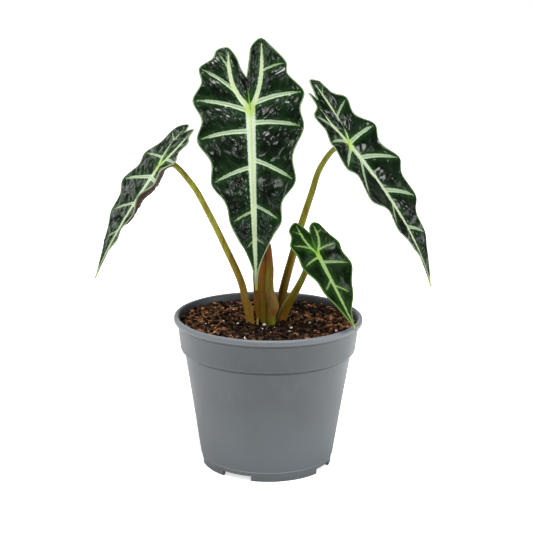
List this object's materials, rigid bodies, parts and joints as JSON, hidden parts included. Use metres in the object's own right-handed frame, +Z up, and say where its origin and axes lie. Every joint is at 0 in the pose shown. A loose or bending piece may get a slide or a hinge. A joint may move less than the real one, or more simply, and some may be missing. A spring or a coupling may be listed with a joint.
{
  "type": "potted alocasia polly",
  "caption": "Potted house plant: dark arrowhead leaves with pale veins and waved edges on slim arching stalks, standing in soil in a round tapered nursery pot with a lip and a notched foot.",
  "frame": {"origin": "centre of the pot's foot, on the surface that it stands on", "axes": "+Z up along the pot's axis, -Y towards the side that the leaves face, +X to the right seen from there"},
  "size_m": [0.2334, 0.13, 0.2935],
  "materials": {
    "pot": "matte",
    "soil": "matte",
    "corm": "matte",
    "sheath": "satin",
    "bract": "satin",
    "blade": "gloss",
    "vein": "satin",
    "young_blade": "satin",
    "young_vein": "satin",
    "stalk": "satin"
  },
  "bodies": {
    "root": {"pot": "pot", "soil": "soil", "corm_and_roots": "corm", "old_sheath": "sheath", "bract": "bract", "blade_centre": "blade", "veins_centre": "vein", "stalk_centre": "stalk", "blade_left": "blade", "veins_left": "vein", "stalk_left": "stalk", "blade_right": "blade", "veins_right": "vein", "stalk_right": "stalk", "blade_small": "young_blade", "veins_small": "young_vein", "stalk_small": "stalk"}
  },
  "joints": []
}
